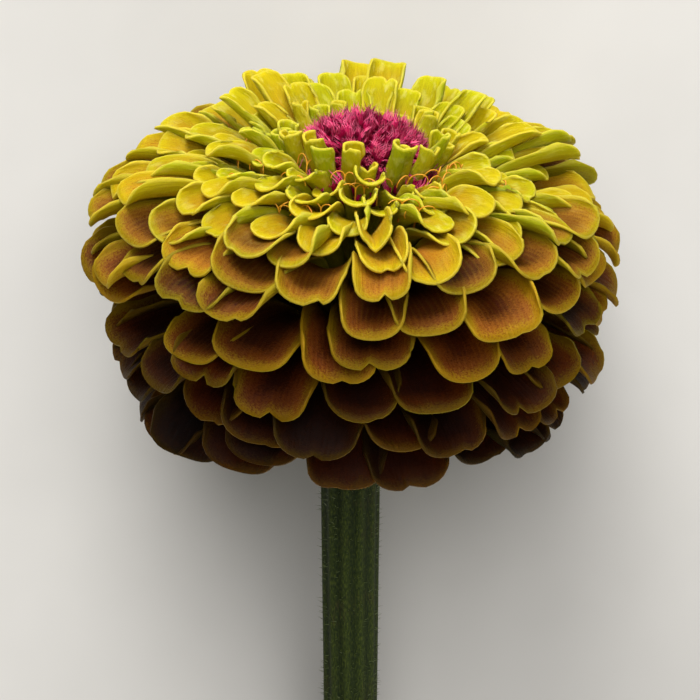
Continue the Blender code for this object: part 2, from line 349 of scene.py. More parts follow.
def petal_paint(name, back):
    """Lime margins round a flush that deepens from lime in the top rows to maroon in the lowest, darkened
    further there and in the middles by painted shade.
    """
    paint = Paint(name)
    across, along = paint.map_place("petal")
    row = paint.attribute("row")
    rim = paint.attribute("rim")
    tone = paint.attribute("tone")

    grain = paint.noise(paint.vector(across * 42 + tone * 31, along * 80), 1.0, 4.0, 0.65)
    streak = paint.noise(paint.vector(across * 30 + tone * 13, along * 5), 1.0, 3.0, 0.6)
    cloud = paint.noise(paint.vector(across * 5 + tone * 17, along * 3, tone * 9), 1.0, 2.0)
    swell = paint.noise(paint.vector(across * 8 + tone * 23, along * 7), 1.0, 2.0)
    wave = (across * (2 * pi * VEINS_ACROSS) + cloud * 9).math("SINE")
    veins = (wave * 0.5 + 0.5) ** 2.5

    level = row + (tone - 0.5) * 0.14
    depth = rim * (1.3 - tone * 0.6) + (grain - 0.5) * 3.0 + (cloud - 0.5) * 1.4 + (streak - 0.5) * 0.6
    inside = depth.ease(0.0, 1.2 + row)
    centre = (depth - veins * 0.2).ease(1.0, 3.0 + row * 1.8)
    if back:
        inside = inside * 0.75
        centre = centre * 0.35
    # Lowest rows and middles: own maroon, darkened further by painted shade.
    margin = paint.ramp(level, MARGINS)
    colour = paint.mix(margin, paint.ramp(level, BANDS), inside)
    colour = paint.mix(colour, paint.ramp(level, MIDDLES), centre)
    if back:
        colour = paint.mix(colour, BACK_OLIVE, (1 - row.ease(0.1, 0.6)) * (1 - along.ease(0.3, 1.0)) * 0.8)
        # Upper rows' backs: own green, and painted light shining through the petals.
        colour = paint.mix(colour, BACK_GREEN_AND_GLOW, row.ease(0.25, 0.75) * 0.8)
    colour = paint.mix(colour, VEIN_YELLOW, veins * (0.10 if back else 0.05) * row.ease(0.2, 0.6))
    rosy = (1 - along.ease(0.35, 0.95)) * row.ease(0.42, 0.62) * (0.15 if back else 0.65)
    colour = paint.mix(colour, BLUSH, rosy * cloud.ease(0.3, 0.7))
    colour = paint.mix(colour, paint.mix(GREENER, ROSIER, tone), 0.9, "MULTIPLY")
    fleck = grain.ease(0.48, 0.68) * inside * (1 - row.ease(0.45, 0.9) * 0.75) * 0.75
    colour = paint.mix(colour, (0.62, 0.36, 0.25), fleck, "MULTIPLY")
    colour = paint.shaded(colour, 0.40 + cloud * 0.36 + streak * 0.50 + grain * 0.34)
    # Painted highlight on the raised swells of the upper rows.
    colour = paint.mix(colour, RIDGE_HIGHLIGHT_LIME, swell.ease(0.5, 0.75) * row.ease(0.5, 0.9) * 0.35)
    # Painted highlight along the margins, where the thin edges catch light.
    rim_highlight = (1 - (rim + (grain - 0.5) * 0.5).ease(0.05, 0.34)) * row.ease(0.25, 0.7)
    colour = paint.mix(colour, RIM_HIGHLIGHT_CREAM, rim_highlight * 0.3)
    paint.set(base_color=colour, roughness=0.46 + grain * 0.22)
    paint.shader.inputs["Specular IOR Level"].default_value = 0.08
    paint.shader.inputs["Subsurface Weight"].default_value = 0.40
    paint.shader.inputs["Subsurface Radius"].default_value = (0.0022, 0.0018, 0.0002)
    paint.shader.inputs["Subsurface Scale"].default_value = 1.0
    ridges = veins * (1 - row.ease(0.3, 0.8) * 0.7)
    paint.bump(ridges * 0.2 + grain + streak * 1.2 + swell * 2.5, 0.55, 0.0002)
    return paint.material


# ---------------------------------------------------------------- petals: shape

def outline_point(turn):
    """Radius and height on the head's outline: turn is 0 at the widest ring and positive above it."""
    if turn <= 0:
        return HEAD_RADIUS * cos(turn), SKIRT_REACH * sin(turn)
    return HEAD_RADIUS * cos(turn) ** (2 / CROWN_POWER), CROWN_RISE * sin(turn) ** (2 / CROWN_POWER)


def ring_tips():
    """Radius and height of the tips of each ring, spaced evenly below and above the widest one."""
    lowest = -asin(SKIRT_DROP / SKIRT_REACH)
    skirt = [outline_point(lowest * (1 - step / SKIRT_STEPS)) for step in range(SKIRT_STEPS)]
    fine = np.array([outline_point(turn) for turn in np.linspace(0, pi / 2, 2000)])
    fine = fine[fine[:, 0] >= INNER_RING_RADIUS]
    walked = np.concatenate(([0], np.cumsum(np.hypot(*np.diff(fine, axis=0).T))))
    wanted = np.linspace(0, walked[-1], CROWN_RINGS)
    crown = [(np.interp(step, walked, fine[:, 0]), np.interp(step, walked, fine[:, 1])) for step in wanted]
    return skirt + crown


RING_TIPS = ring_tips()
RING_COUNT = len(RING_TIPS)


def core_radius(height):
    return CORE_RADIUS * sqrt(max(1 - ((height - CORE_LOW) / CORE_RISE) ** 2, 0.1))


# The head leans to the right and bulges to the left
LEAN = radians(3.2)
LEAN_FROM = -20 * MM
BULGE = 0.015


def lean_over(points):
    """Turn the head a little to the right, about its neck."""
    head = ease(points[:, 2], -22 * MM, -14 * MM)
    moved = points.copy()
    moved[:, 0] += head * (points[:, 2] - LEAN_FROM) * sin(LEAN)
    moved[:, 2] -= head * points[:, 0] * sin(LEAN)
    return moved


def settle_head(points):
    """Give the crown its uneven, grown shape."""
    radius = np.hypot(points[:, 0], points[:, 1])
    azimuth = np.arctan2(points[:, 0], -points[:, 1])
    level = np.exp(-((points[:, 2] - 1 * MM) / (10 * MM)) ** 2)
    grow = 1 - BULGE * np.sin(azimuth) * level * ease(radius, 12 * MM, 30 * MM)
    return lean_over(points * np.stack((grow, grow, np.ones_like(grow)), 1))


# What changes from the lowest ring, 0, to the highest, 1: angles in degrees, widths in millimetres
LEAVE_STOPS = ((0, 24), (0.4, 40), (0.7, 47), (1, 50))
ARRIVE_STOPS = ((0, -63), (0.3, -52), (0.5, -42), (0.6, -27), (0.7, -15), (0.8, -7), (0.9, 1), (1, 10))
HALF_WIDTH_STOPS = ((0, 5.8), (0.3, 5.5), (0.5, 5.1), (0.6, 4.5), (0.7, 3.9), (0.8, 3.4), (0.9, 3.0),
                    (1, 2.7))
CUP_STOPS = ((0, 0.36), (0.3, 0.52), (0.5, 0.75), (0.7, 1.05), (0.85, 1.2), (1, 1.25))
ROLL_STOPS = ((0, 0.1), (0.3, 0.35), (0.5, 0.9), (0.6, 1.3), (0.7, 1.7), (0.85, 1.9), (1, 2.0))
FLARE_STOPS = ((0, 0.0), (0.4, 0.1), (0.6, 0.22), (0.8, 0.30), (1, 0.32))
NARROW_STOPS = ((0, 0.10), (0.1, 0.08), (0.2, 0.06), (0.3, 0.045), (0.5, 0.04), (0.8, 0.0))
SKIRT_SAG_STOPS = ((0, 1.2), (0.2, 0.6), (0.4, 0))
BACK_LEAN_STOPS = ((0.4, 0), (0.6, 0.40), (0.7, 0.65), (0.8, 0.90), (0.9, 0.95), (1, 0.80))
BACK_TURN = radians(48)
BACK_RISE = 7.0 * MM
BACK_DRAW = 1.5 * MM
LIP_STOPS = ((0, 0.14), (0.5, 0.14), (1, 0.06))
CAP_STOPS = ((0, 0.66), (0.4, 0.74), (0.7, 0.9), (1, 0.9))


class Petal:
    """The shape of one petal: where it runs, and how it is cupped, rolled, flared and notched."""

    def __init__(self, dice, share, azimuth, tip, seat):
        self.azimuth = azimuth
        self.row = share
        self.tip = tip
        self.seat = (core_radius(seat) - 0.2 * MM, seat)
        self.leave = radians(at_stops(LEAVE_STOPS, share))
        self.arrive = radians(at_stops(ARRIVE_STOPS, share) + dice.gauss(0, 7))
        self.half_width = at_stops(HALF_WIDTH_STOPS, share) * MM * dice.uniform(0.9, 1.07)
        cup = at_stops(CUP_STOPS, share)
        self.cup = [cup * dice.uniform(0.7, 1.2), cup * dice.uniform(0.7, 1.2)]
        roll = at_stops(ROLL_STOPS, share)
        self.roll = [roll * dice.uniform(0.0, 0.4), roll * dice.uniform(0.0, 0.4)]
        upper_side = 1 if sin(azimuth) > 0 else 0
        rolled_side = upper_side if dice.random() < 0.78 else 1 - upper_side
        self.roll[rolled_side] = roll * dice.uniform(0.6, 1.15)
        self.roll_from = dice.uniform(0.42, 0.60)
        self.flare = at_stops(FLARE_STOPS, share) * dice.uniform(0.7, 1.3)
        self.keel = dice.uniform(0.0, 0.12)
        self.lip = at_stops(LIP_STOPS, share) * dice.uniform(0.4, 1.6)
        self.cap = at_stops(CAP_STOPS, share) * dice.uniform(0.85, 1.15)
        self.cap_power = dice.uniform(2.1, 3.1)
        self.notch = dice.choice((0.0, 0.0, 0.3, 0.7, 1.4)) * blend(1.0, 0.5, share) * MM
        self.notch_place = dice.uniform(-0.4, 0.4)
        self.twist = dice.gauss(0, radians(9))
        self.swing = dice.gauss(0, 0.045)
        self.ruffle = dice.uniform(0.15, 0.45) * MM
        self.phase = dice.uniform(0, 2 * pi)
        self.foot_width = 0.30
        self.tone = dice.random()

    def spine(self, share):
        """Points of the middle line in the plane through the stem, and its direction."""
        start, end = np.array(self.seat), np.array(self.tip)
        reach = np.linalg.norm(end - start) * HANDLE_SHARE
        first = start + reach * np.array((cos(self.leave), sin(self.leave)))
        second = end - reach * np.array((cos(self.arrive), sin(self.arrive)))
        s = share[:, None]
        rest = 1 - s
        points = start * rest**3 + first * 3 * rest**2 * s + second * 3 * rest * s**2 + end * s**3
        along = (first - start) * rest**2 + (second - first) * 2 * rest * s + (end - second) * s**2
        return points, along / np.linalg.norm(along, axis=1)[:, None]

    def length(self):
        points, _ = self.spine(np.linspace(0, 1, 30))
        return float(np.hypot(*np.diff(points, axis=0).T).sum())

    def opening(self, along):
        """How much of its cup and roll a petal has at a share of its length."""
        return (0.5 + 0.5 * ease(along, 0.08, 0.5)) * (1 - self.flare * ease(along, 0.62, 1.0))

    def section(self, reach, side, along):
        """Across and raised, in half widths, at a share of the half width on one side."""
        fine = np.linspace(0, 1, SECTION_STEPS)
        bend = self.cup[side] * fine + self.roll[side] * ease(fine, self.roll_from, 1.15)
        turn = self.keel + bend[None, :] * self.opening(along)[:, None]
        middle = (turn[:, 1:] + turn[:, :-1]) / 2
        start = np.zeros((len(along), 1))
        across = np.concatenate((start, np.cumsum(np.cos(middle), 1) * fine[1]), 1)
        raised = np.concatenate((start, np.cumsum(np.sin(middle), 1) * fine[1]), 1)
        place = reach * (SECTION_STEPS - 1)
        low = np.minimum(place.astype(int), SECTION_STEPS - 2)
        index = np.arange(len(along))
        return (blend(across[index, low], across[index, low + 1], place - low),
                blend(raised[index, low], raised[index, low + 1], place - low))

    def width(self, along):
        grow = blend(self.foot_width, 1.0, ease(along, 0.02, 0.78))
        return self.half_width * grow * (1 - 0.06 * ease(along, 0.88, 1.0))

    def edge_drop(self, across):
        """How far the tip's outline falls short of the full length, as a share of it."""
        side = np.minimum(np.abs(across), 1)
        drop = self.cap * self.half_width * (1 - (1 - side**self.cap_power) ** (1 / self.cap_power))
        drop = drop + self.notch * np.exp(-((across - self.notch_place) / 0.13) ** 2)
        return drop / self.length()

    def shape(self, across, along):
        """Points in the flower's frame for places across, from -1 to 1, and along, from 0 to 1."""
        share = np.clip(along - self.edge_drop(across) * along**3, 0, 1.05)
        points, direction = self.spine(share)
        facing = np.stack((-direction[:, 1], direction[:, 0]), 1)
        width = self.width(along)
        side = np.abs(across)
        left = self.section(side, 0, along)
        right = self.section(side, 1, along)
        sideways = np.where(across < 0, -left[0], right[0]) * width
        raised = np.where(across < 0, left[1], right[1]) * width
        raised = raised + self.lip * width * ease(along, 0.80, 1.0) ** 1.5
        raised = raised + self.ruffle * side**3 * np.sin(along * 9 + np.sign(across) * 1.3 + self.phase)
        turn = self.twist * along
        sideways, raised = (sideways * np.cos(turn) - raised * np.sin(turn),
                            sideways * np.sin(turn) + raised * np.cos(turn))
        sideways = sideways + self.swing * self.length() * along**2
        radius = points[:, 0] + facing[:, 0] * raised
        height = points[:, 1] + facing[:, 1] * raised
        outward = np.array((sin(self.azimuth), -cos(self.azimuth), 0))
        left_hand = np.array((-cos(self.azimuth), -sin(self.azimuth), 0))
        up = np.array((0, 0, 1))
        return self.settle(np.outer(radius, outward) + np.outer(sideways, left_hand) + np.outer(height, up))

    def settle(self, points):
        return settle_head(points)

    def rim(self, across, along):
        """Distance to the margin, in millimetres."""
        to_side = self.width(along) * (1 - np.abs(across))
        return np.minimum(to_side, self.length() * (1 - along)) / MM


def flat_petal():
    """The flat sheet that every petal is shaped from, with the map that its pattern follows."""
    clear_selection()
    bpy.ops.mesh.primitive_grid_add(x_subdivisions=ACROSS, y_subdivisions=ALONG, size=2, calc_uvs=True)
    sheet = bpy.context.active_object
    sheet.data.uv_layers[0].name = "petal"
    sheet.data.uv_layers.new(name="cell")
    sheet.data.shade_smooth()
    return sheet


def shaped_petal(sheet, petal, cell):
    """A copy of the flat sheet, bent into one petal."""
    item = copy_piece(sheet)
    flat = mesh_points(item)
    across = np.sin(flat[:, 0] * pi / 2) * 0.6 + flat[:, 0] * 0.4
    along = (flat[:, 1] + 1) / 2
    along = along * 0.55 + np.sin(along * pi / 2) * 0.45
    points = rest_on_floor(petal.shape(across, along), PETAL_THICKNESS)
    set_points(item, to_world(points))
    set_attribute(item, "rim", petal.rim(across, along))
    set_attribute(item, "row", petal.row)
    set_attribute(item, "tone", petal.tone)
    layer = item.data.uv_layers["cell"]
    layer.uv.foreach_set("vector", np.tile((float(cell), 0.0), len(item.data.loops)).astype(np.float32))
    return item


def lay_out_bake_map(item, petals):
    """A map with a cell of its own for each side of each petal, and a strip round it for its edge."""
    data = item.data
    sides = int(np.ceil(sqrt(2 * petals)))
    place = read_all(data.uv_layers["petal"].uv, "vector", 2, np.float32) - 0.5
    cell = read_all(data.uv_layers["cell"].uv, "vector", 2, np.float32)[:, 0]
    totals = read_all(data.polygons, "loop_total")
    behind = np.repeat(read_all(data.polygons, "material_index"), totals)
    corners = read_all(data.loops, "vertex_index")
    back_points = np.zeros(len(data.vertices), bool)
    back_points[corners[behind == 1]] = True
    on_edge = (behind == 0) & back_points[corners]
    place[on_edge] *= EDGE_STRIP
    number = cell.round().astype(int) * 2 + behind
    corner = np.stack((number % sides, number // sides), 1)
    layer = data.uv_layers.new(name="OFBake")
    layer.uv.foreach_set("vector", ((place * 0.9 + 0.5 + corner) / sides).astype(np.float32).ravel())
    data.uv_layers.remove(data.uv_layers["cell"])


def thicken(item, thickness):
    modifier = item.modifiers.new("thickness", "SOLIDIFY")
    modifier.thickness = thickness
    modifier.offset = -1
    modifier.material_offset = 1
    apply_modifiers(item)
    item.data.shade_smooth()


def petal_piece(sheet, petals, name, looks):
    """One petal, or a ring of them, as a finished piece."""
    items = [shaped_petal(sheet, petal, cell) for cell, petal in enumerate(petals)]
    piece = join_pieces(items, name)
    for look in looks:
        piece.data.materials.append(look)
    thicken(piece, PETAL_THICKNESS)
    lay_out_bake_map(piece, len(petals))
    return piece


# Petals in the middle of the upper side, narrow and folded, that crowd to the right of a deep cleft
CROWDED_PETALS = {
    (4, 0): {"azimuth": radians(5.4), "cup": [0.8, 0.7]},
    (5, 0): {"azimuth": radians(7.6), "half_width": 4.3 * MM, "cup": [0.9, 0.8], "roll": [0.5, 0.3]},
    (6, 0): {"azimuth": radians(5.8), "half_width": 4.0 * MM, "cup": [0.8, 0.7], "roll": [0.4, 0.2],
             "keel": 0.3},
    (7, 0): {"azimuth": radians(2.4), "half_width": 4.0 * MM, "cup": [0.4, 0.4], "roll": [0.3, 0.6],
             "keel": 0.8},
}


def ring_petals(dice, ring):
    """The petals of one ring: those of the crown stand up at the back of the head."""
    share = ring / (RING_COUNT - 1)
    radius, height = RING_TIPS[ring]
    seat = blend(LOWEST_SEAT, HIGHEST_SEAT, ring / RING_COUNT)
    petals = []
    for index in range(FLORETS_PER_RING):
        azimuth = 2 * pi * (index + 0.5 * (ring % 2)) / FLORETS_PER_RING + dice.gauss(0, radians(2.1))
        behind = float(ease((1 - cos(azimuth)) / 2, 0.36, 0.90)) * at_stops(BACK_LEAN_STOPS, share)
        clear = float(ease(cos(azimuth), -0.9, -0.3))
        narrow = 1 - at_stops(NARROW_STOPS, share) * clear
        sag = at_stops(SKIRT_SAG_STOPS, share) * MM * clear
        tip = (radius * narrow * (1 + dice.gauss(0, 0.024)) - BACK_DRAW * behind,
               height + dice.gauss(0, 0.9) * MM + BACK_RISE * behind - sag)
        petal = Petal(dice, share, azimuth, tip, seat)
        petal.arrive += BACK_TURN * behind
        for feature, value in CROWDED_PETALS.get((ring, index), {}).items():
            setattr(petal, feature, value)
        petals.append(petal)
    return petals


RAY_SLOTS = ["rays_maroon"] * 4 + ["rays_blush"] * 3 + ["rays_lime"] * 4


def make_rays(looks):
    dice = random.Random(4)
    sheet = flat_petal()
    for ring in range(RING_COUNT):
        petals = ring_petals(dice, ring)
        if ring >= LOOSE_RINGS:
            piece = petal_piece(sheet, petals, f"ray_row_{ring + 1:02d}", looks)
            finish_piece(piece, RAY_SLOTS[ring], f"ray_whorl_{ring + 1:02d}")
            continue
        for index, petal in enumerate(petals):
            name = f"{ring + 1}_{index + 1:02d}"
            piece = petal_piece(sheet, [petal], f"ray_petal_{name}", looks)
            finish_piece(piece, RAY_SLOTS[ring], f"ray_floret_{name}")
    return sheet


# ---------------------------------------------------------------- rolled florets round the disc

TUBE_COUNT = 22
TUBE_MOUTH = (11.2 * MM, 17.3 * MM)


class Tube(Petal):
    """A floret rolled into a tube, with a flared, wavy mouth."""

    def __init__(self, dice, azimuth):
        size = dice.uniform(0.7, 1.1)
        tip = (TUBE_MOUTH[0] * dice.uniform(0.92, 1.08), TUBE_MOUTH[1] + dice.uniform(-2.4, 0.7) * MM)
        super().__init__(dice, 1.0, azimuth, tip, HIGHEST_SEAT)
        self.row = 1.1
        self.leave = radians(58)
        self.arrive = radians(84) + dice.gauss(0, radians(5))
        self.half_width = 2.9 * size * MM
        self.cup = [dice.uniform(2.4, 2.9), dice.uniform(2.4, 2.9)]
        self.roll = [0.2, 0.2]
        self.keel = 0.0
        self.flare = 0.20
        self.lip = 0.0
        self.cap = 0.10
        self.notch = dice.uniform(0.2, 1.0) * MM
        self.foot_width = 0.62
        self.twist = dice.uniform(-pi, pi) * 0.5
        self.swing = dice.gauss(0, 0.03)
        self.ruffle = dice.uniform(0.25, 0.55) * MM

    def opening(self, along):
        return 1.0 - self.flare * ease(along, 0.80, 1.0)

    def settle(self, points):
        return lean_over(points)


def make_tubes(sheet, looks):
    dice = random.Random(12)
    tubes = []
    for index in range(TUBE_COUNT):
        azimuth = 2 * pi * (index + 0.25) / TUBE_COUNT + dice.gauss(0, radians(3))
        tubes.append(Tube(dice, azimuth))
    piece = petal_piece(sheet, tubes, "tube_row", looks)
    finish_piece(piece, "rays_lime", "tube_florets")


# ---------------------------------------------------------------- disc

DISC_RADIUS = 8.0 * MM
DISC_SHOULDER = 13.2 * MM
DISC_TOP = 17.8 * MM
DISC_FOOT = 8.7 * MM
FRINGE_DEPTH = 0.9 * MM
SCALE_COUNT = 1500
FOOT_SCALE_COUNT = 160
SCALE_TEETH = 3
GOLDEN_TURN = pi * (3 - sqrt(5))


# From the foot of a scale, 0, to its teeth, 1: near black at the foot as painted shade among the scales
SCALE_COLOURS = ((0.0, (0.06, 0.001, 0.008)), (0.35, (0.36, 0.003, 0.05)),
                 (0.7, (0.54, 0.008, 0.10)), (1.0, (0.78, 0.15, 0.28)))


def disc_paint():
    """Magenta fringe, darker at the foot of each scale as painted shade among the scales, and paler at its
    teeth.
    """
    paint = Paint("magenta_fringe")
    across, along = paint.map_place("scale")
    tone = paint.attribute("tone")
    colour = paint.shaded(paint.ramp(along, SCALE_COLOURS), 0.62 + tone * 0.6)
    grain = paint.noise(paint.vector(across * 9, along * 2, tone * 20), 1.0)
    paint.set(base_color=colour, roughness=0.42 + grain * 0.2)
    paint.shader.inputs["Specular IOR Level"].default_value = 0.2
    return paint.material


def flat_scale():
    """One fringed scale: a narrow strip whose top edge is drawn out into teeth."""
    clear_selection()
    bpy.ops.mesh.primitive_grid_add(x_subdivisions=2 * SCALE_TEETH, y_subdivisions=3, size=2, calc_uvs=True)
    scale = bpy.context.active_object
    scale.data.uv_layers[0].name = "scale"
    points = mesh_points(scale)
    step = np.round((points[:, 0] + 1) / 2 * 2 * SCALE_TEETH).astype(int)
    top = points[:, 1] > 0.99
    valley = top & (step % 2 == 0)
    points[:, 1] = (points[:, 1] + 1) / 2
    points[valley, 1] = 0.42
    lean = np.where(top & ~valley, 1.0 + 0.25 * np.cos(points[:, 0] * 2), 1.0)
    points[:, 1] *= lean
    set_points(scale, points)
    scale.data.shade_smooth()
    return scale


def place_scale(scale, dice, centre, out, length, width):
    """A copy of the scale, standing on the dome along its outward direction and curled."""
    item = copy_piece(scale)
    points = mesh_points(item)
    spin = dice.uniform(0, 2 * pi)
    side = Vector((cos(spin), sin(spin), 0))
    side = (side - out * side.dot(out)).normalized()
    front = out.cross(side)
    across, along = points[:, 0], points[:, 1]
    fold = (1 - np.abs(across)) * 0.35 * width
    bend = dice.choice((-1, 1)) * dice.uniform(0.3, 1.1) * along**2 * length * 0.55
    spread = 1 + 0.5 * along
    made = (np.array(centre)[None, :] + np.outer(across * width * spread, side)
            + np.outer(along * length, out) + np.outer(fold + bend, front))
    set_points(item, to_world(lean_over(made)))
    set_attribute(item, "tone", dice.random())
    return item


def dome_point(share, azimuth):
    """A point on the disc's dome, from its top, 0, to its foot, 1, and the way it faces."""
    if share < 0.72:
        turn = share / 0.72 * pi / 2
        radius = DISC_RADIUS * 0.96 * sin(turn)
        height = DISC_SHOULDER + (DISC_TOP - DISC_SHOULDER) * cos(turn)
        rise = cos(turn) * 1.1
        reach = sin(turn)
    else:
        part = (share - 0.72) / 0.28
        radius = DISC_RADIUS * (0.96 - 0.16 * part)
        height = blend(DISC_SHOULDER, DISC_FOOT, part)
        rise = 0.25
        reach = 1.0
    outward = Vector((sin(azimuth), -cos(azimuth), 0))
    facing = (outward * reach + Vector((0, 0, rise + 0.35))).normalized()
    return outward * radius + Vector((0, 0, height)), facing


def make_disc():
    dice = random.Random(8)
    look = disc_paint()
    scale = flat_scale()
    scales = []
    for index in range(SCALE_COUNT):
        share = sqrt((index + 0.5) / SCALE_COUNT)
        centre, out = dome_point(share, index * GOLDEN_TURN)
        out = (out + Vector((dice.gauss(0, 0.22), dice.gauss(0, 0.22), dice.gauss(0, 0.12)))).normalized()
        length = dice.uniform(1.4, 2.2) * MM
        width = dice.uniform(0.22, 0.36) * MM
        scales.append(place_scale(scale, dice, centre - out * 0.7 * MM, out, length, width))
    for index in range(FOOT_SCALE_COUNT):
        turn = index * GOLDEN_TURN
        share = dice.random()
        outward = Vector((sin(turn), -cos(turn), 0))
        centre = outward * blend(7.0, 11.5, share) * MM + Vector((0, 0, blend(11.2, 9.4, share) * MM))
        out = (outward * dice.uniform(0.1, 0.8) + Vector((0, 0, 1))).normalized()
        length = dice.uniform(1.8, 3.0) * MM
        scales.append(place_scale(scale, dice, centre, out, length, dice.uniform(0.35, 0.5) * MM))
    fringe = join_pieces(scales, "disc_fringe")
    give_look(fringe, look)
    bpy.data.objects.remove(scale, do_unlink=True)
    finish_piece(fringe, "disc")
    finish_piece(disc_dome(look), "disc", "disc")


# Where the dome reads the scale colours: near the dark foot, as painted shade under the fringe.
DOME_SHADE = 0.15


def disc_dome(look):
    """The dome under the fringe, painted dark as the shade beneath it."""
    clear_selection()
    bpy.ops.mesh.primitive_uv_sphere_add(segments=32, ring_count=20, radius=1)
    dome = bpy.context.active_object
    dome.name = "disc_dome"
    points = mesh_points(dome)
    upper = DISC_TOP - FRINGE_DEPTH - DISC_SHOULDER
    lower = DISC_SHOULDER - DISC_FOOT
    points[:, :2] *= DISC_RADIUS - FRINGE_DEPTH
    points[:, 2] = DISC_SHOULDER + np.where(points[:, 2] > 0, points[:, 2] * upper, points[:, 2] * lower)
    set_points(dome, to_world(lean_over(points)))
    dome.data.uv_layers[0].name = "scale"
    layer = dome.data.uv_layers["scale"].uv
    place = read_all(layer, "vector", 2, np.float32)
    place[:, 1] = DOME_SHADE
    layer.foreach_set("vector", place.ravel())
    set_attribute(dome, "tone", 0.2)
    dome.data.shade_smooth()
    give_look(dome, look)
    return dome


# ---------------------------------------------------------------- orange styles

STYLE_COUNT = 48
STYLE_POINTS = 13
STYLE_RADIUS = 0.12 * MM
FORK_AT = 0.4


def style_paint():
    paint = Paint("orange_style")
    patch = paint.noise(paint.object_place(), 900.0)
    colour = paint.ramp(patch, ((0.3, (0.62, 0.20, 0.01)), (0.6, (0.78, 0.40, 0.02))))
    paint.set(base_color=colour, roughness=0.4 + patch * 0.2)
    return paint.material


def make_styles():
    """Thin curled styles that stand between the inner petals."""
    dice = random.Random(3)
    look = style_paint()
    styles = []
    for index in range(STYLE_COUNT):
        azimuth = index * GOLDEN_TURN
        share = dice.random()
        radius = blend(10.5, 20.0, share) * MM
        height = blend(11.0, 9.0, share) * MM
        styles.append(style_curve(dice, azimuth, radius, height))
    piece = join_pieces(styles, "styles")
    give_look(piece, look)
    finish_piece(piece, "rays_lime")


def style_curve(dice, azimuth, radius, height):
    """One style: up, then forked into two thin arms that curl over."""
    outward = Vector((sin(azimuth), -cos(azimuth), 0))
    sideways = Vector((cos(azimuth), sin(azimuth), 0))
    rise = (Vector((0, 0, 1)) + outward * dice.uniform(-0.1, 0.5)).normalized()
    start = outward * radius + Vector((0, 0, height))
    tall = dice.uniform(1.6, 3.2) * MM
    curl = dice.uniform(0.8, 1.3) * MM
    data = bpy.data.curves.new("style", "CURVE")
    data.dimensions = "3D"
    data.bevel_depth = STYLE_RADIUS
    data.bevel_resolution = 1
    data.use_fill_caps = True
    spin = dice.uniform(-0.6, 0.6)
    for hand in (1, -1):
        arm = sideways * hand * cos(spin) + outward * sin(spin)
        turns = dice.uniform(2.4, 4.2)
        spline = data.splines.new("POLY")
        spline.points.add(STYLE_POINTS - 1)
        for step, point in enumerate(spline.points):
            share = step / (STYLE_POINTS - 1)
            up = tall * min(share / FORK_AT, 1)
            bend = max(share - FORK_AT, 0) / (1 - FORK_AT) * turns
            place = start + rise * (up + curl * sin(bend)) + arm * curl * (1 - cos(bend))
            point.co = (*to_world(lean_over(np.array(place)[None, :]))[0], 1)
            point.radius = 1 - 0.45 * share
    item = bpy.data.objects.new("style", data)
    bpy.context.collection.objects.link(item)
    make_active(item)
    bpy.ops.object.convert(target="MESH")
    return bpy.context.active_object


# ---------------------------------------------------------------- stem

STEM_SIDES = 132
STEM_RIBS = 11
STEM_RIB_DEPTH = 0.16 * MM
STEM_BANDS = 60
SWAY_TURN = 0.04
SWAY_RATE = 0.11 / MM
STEM_MAP_LENGTH = 30 * MM
HAIR_COUNT = 1500
HAIR_RADIUS = 0.045 * MM


def stem_paint():
    """Dark green, paler on the ribs, with pale flecks in broken lines along it."""
    paint = Paint("stem_green")
    across, along = paint.map_place("stem")
    rib = (across * (2 * pi * STEM_RIBS)).math("COSINE") * 0.5 + 0.5
    streak = paint.noise(paint.vector(across * 90, along * 14), 1.0, 4.0, 0.6)
    fleck = paint.noise(paint.vector(across * 120, along * 48), 1.0, 3.0, 0.6)
    cloud = paint.noise(paint.vector(across * 4, along * 5), 1.0)
    colour = paint.mix((0.006, 0.014, 0.003), (0.032, 0.052, 0.006), rib * 0.5 + streak * 0.5)
    colour = paint.mix(colour, (0.085, 0.110, 0.012), fleck.ease(0.46, 0.72) * (0.35 + rib * 0.5))
    colour = paint.mix(colour, (0.003, 0.007, 0.002), (1 - fleck.ease(0.28, 0.46)) * 0.8)
    colour = paint.mix(colour, (0.07, 0.030, 0.02), (cloud * streak).ease(0.28, 0.55) * 0.4)
    paint.set(base_color=colour, roughness=0.55 + streak * 0.15)
    paint.shader.inputs["Specular IOR Level"].default_value = 0.16
    paint.bump(streak + fleck * 1.5 + rib * 0.3, 0.6, 0.0003)
    return paint.material


def cut_paint():
    """The pale, wet pith of the cut end."""
    paint = Paint("stem_cut")
    place = paint.object_place()
    pores = paint.node("ShaderNodeTexVoronoi", None, {"Vector": place, "Scale": 2600.0})
    cloud = paint.noise(place, 400.0)
    colour = paint.mix((0.30, 0.36, 0.13), (0.55, 0.60, 0.33), pores.ease(0.1, 0.6) * 0.7 + cloud * 0.3)
    paint.set(base_color=colour, roughness=0.3 + cloud * 0.2)
    paint.bump(pores, 0.4, 0.0001)
    return paint.material


def stem_radius(height):
    """Radius below the head: the stem widens towards its neck."""
    share = np.clip((height - NECK_HEIGHT) / STEM_TAPER + 1, 0, 1)
    return STEM_RADIUS + (STEM_NECK_RADIUS - STEM_RADIUS) * share**1.3


